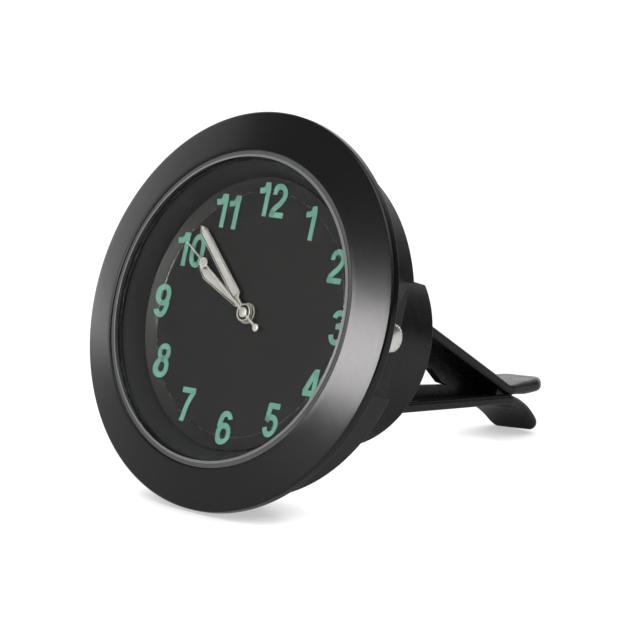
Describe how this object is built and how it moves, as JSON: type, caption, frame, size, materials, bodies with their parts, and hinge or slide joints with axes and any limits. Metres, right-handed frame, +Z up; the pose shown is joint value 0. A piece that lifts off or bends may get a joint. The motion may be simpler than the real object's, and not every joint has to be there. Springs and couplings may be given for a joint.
{
  "type": "car clock",
  "caption": "Round quartz car clock with a dark face, hour numbers and a sloped metal bezel, on a round base with a two-leaf spring clip for a vent blade.",
  "frame": {"origin": "Centre of the length and width of the clock as it leans back on a table, at table height.", "axes": "+X to 3 o'clock, +Y from the face to the clip, +Z up from the table."},
  "size_m": [0.04, 0.0498, 0.0379],
  "materials": {
    "bezel_metal": "satin black plate",
    "glass": "clear polished",
    "black_rubber": "matte",
    "flange_paint": "satin",
    "dial_paint": "fine matte",
    "hand_enamel": "satin off-white",
    "case_plastic": "fine satin",
    "steel": "bright",
    "back_steel": "turned",
    "brass": "satin",
    "movement_plastic": "plain",
    "copper_wire": "enamelled wire",
    "board": "lacquered",
    "foam": "closed-cell foam",
    "clip_plastic": "satin moulded"
  },
  "bodies": {
    "clock": {"bezel": "bezel_metal", "crystal": "glass", "crystal_gasket": "black_rubber", "flange_ring": "flange_paint", "dial": "dial_paint", "case_body": "case_plastic", "case_back": "back_steel", "back_gasket": "black_rubber", "crown_tube": "brass", "movement_ring": "movement_plastic", "main_plate": "brass", "train_bridge": "brass", "stator": "steel", "coil_core": "steel", "coil": "copper_wire", "circuit_board": "board", "quartz_can": "steel", "battery": "steel", "battery_strap": "brass", "movement_screws": "steel", "foam_pad": "foam", "clip_base": "clip_plastic"},
    "seconds": {"second_hand": "hand_enamel", "seconds_wheel": "brass"},
    "minutes": {"minute_hand": "hand_enamel", "centre_wheel": "brass"},
    "hours": {"hour_hand": "hand_enamel", "hour_wheel": "brass"},
    "third": {"third_wheel": "brass"},
    "intermediate": {"intermediate_wheel": "movement_plastic"},
    "rotor": {"rotor": "movement_plastic"},
    "minute_wheel": {"minute_wheel": "brass"},
    "setting_wheel": {"setting_wheel": "brass"},
    "setting": {"setting_lever": "steel"},
    "crown": {"crown": "steel", "stem": "steel"},
    "yoke": {"yoke": "steel"},
    "clutch": {"clutch_wheel": "brass"},
    "upper_leaf": {"upper_leaf": "clip_plastic"},
    "lower_leaf": {"lower_leaf": "clip_plastic"}
  },
  "joints": [
    {"name": "seconds_turn", "type": "hinge", "parent": "clock", "child": "seconds", "pos_m": [0, -0.01492, 0.01795], "axis": [0, 0.9407, -0.3393], "continuous": true},
    {"name": "minutes_turn", "type": "hinge", "parent": "clock", "child": "minutes", "pos_m": [0, -0.01492, 0.01795], "axis": [0, 0.9407, -0.3393], "continuous": true},
    {"name": "hours_turn", "type": "hinge", "parent": "clock", "child": "hours", "pos_m": [0, -0.01492, 0.01795], "axis": [0, 0.9407, -0.3393], "continuous": true},
    {"name": "third_turn", "type": "hinge", "parent": "clock", "child": "third", "pos_m": [0.00285, -0.01566, 0.01588], "axis": [0, 0.9407, -0.3393], "continuous": true},
    {"name": "intermediate_turn", "type": "hinge", "parent": "clock", "child": "intermediate", "pos_m": [-0.00165, -0.01383, 0.02096], "axis": [0, 0.9407, -0.3393], "continuous": true},
    {"name": "rotor_turn", "type": "hinge", "parent": "clock", "child": "rotor", "pos_m": [-0.00294, -0.01299, 0.0233], "axis": [0, 0.9407, -0.3393], "continuous": true},
    {"name": "minute_wheel_turn", "type": "hinge", "parent": "clock", "child": "minute_wheel", "pos_m": [0.00279, -0.01467, 0.01862], "axis": [0, 0.9407, -0.3393], "continuous": true},
    {"name": "setting_wheel_turn", "type": "hinge", "parent": "clock", "child": "setting_wheel", "pos_m": [0.00591, -0.01463, 0.01874], "axis": [0, 0.9407, -0.3393], "continuous": true},
    {"name": "crown_pull", "type": "slide", "parent": "clock", "child": "setting", "axis": [0.9992, 0.0136, 0.0378], "range_m": [0, 0.0008]},
    {"name": "crown_turn", "type": "hinge", "parent": "setting", "child": "crown", "pos_m": [0.00899, -0.01428, 0.0181], "axis": [0.9992, 0.0136, 0.0378], "continuous": true},
    {"name": "yoke_slide", "type": "slide", "parent": "clock", "child": "yoke", "axis": [-0.9992, -0.0136, -0.0378], "range_m": [0, 0.0008]},
    {"name": "clutch_turn", "type": "hinge", "parent": "yoke", "child": "clutch", "pos_m": [0.00799, -0.01429, 0.01806], "axis": [0.9992, 0.0136, 0.0378], "continuous": true},
    {"name": "upper_leaf_flex", "type": "hinge", "parent": "clock", "child": "upper_leaf", "pos_m": [0, -0.00088, 0.01824], "axis": [1, 0, 0], "range_deg": [0, 8], "stiffness_Nm_per_rad": 0.004, "springref_deg": -5.73},
    {"name": "lower_leaf_flex", "type": "hinge", "parent": "clock", "child": "lower_leaf", "pos_m": [0, -0.0049, 0.0071], "axis": [-1, 0, 0], "range_deg": [0, 8], "stiffness_Nm_per_rad": 0.004, "springref_deg": -5.73}
  ],
  "couplings": [
    {"joint": "minutes_turn", "follows": "seconds_turn", "ratio": 0.016667},
    {"joint": "hours_turn", "follows": "seconds_turn", "ratio": 0.0013889},
    {"joint": "third_turn", "follows": "seconds_turn", "ratio": -0.125},
    {"joint": "intermediate_turn", "follows": "seconds_turn", "ratio": -5},
    {"joint": "rotor_turn", "follows": "seconds_turn", "ratio": 30},
    {"joint": "minute_wheel_turn", "follows": "seconds_turn", "ratio": -0.0055556},
    {"joint": "setting_wheel_turn", "follows": "seconds_turn", "ratio": 0.0125},
    {"joint": "yoke_slide", "follows": "crown_pull", "ratio": 1},
    {"joint": "clutch_turn", "follows": "crown_turn", "ratio": 1}
  ]
}
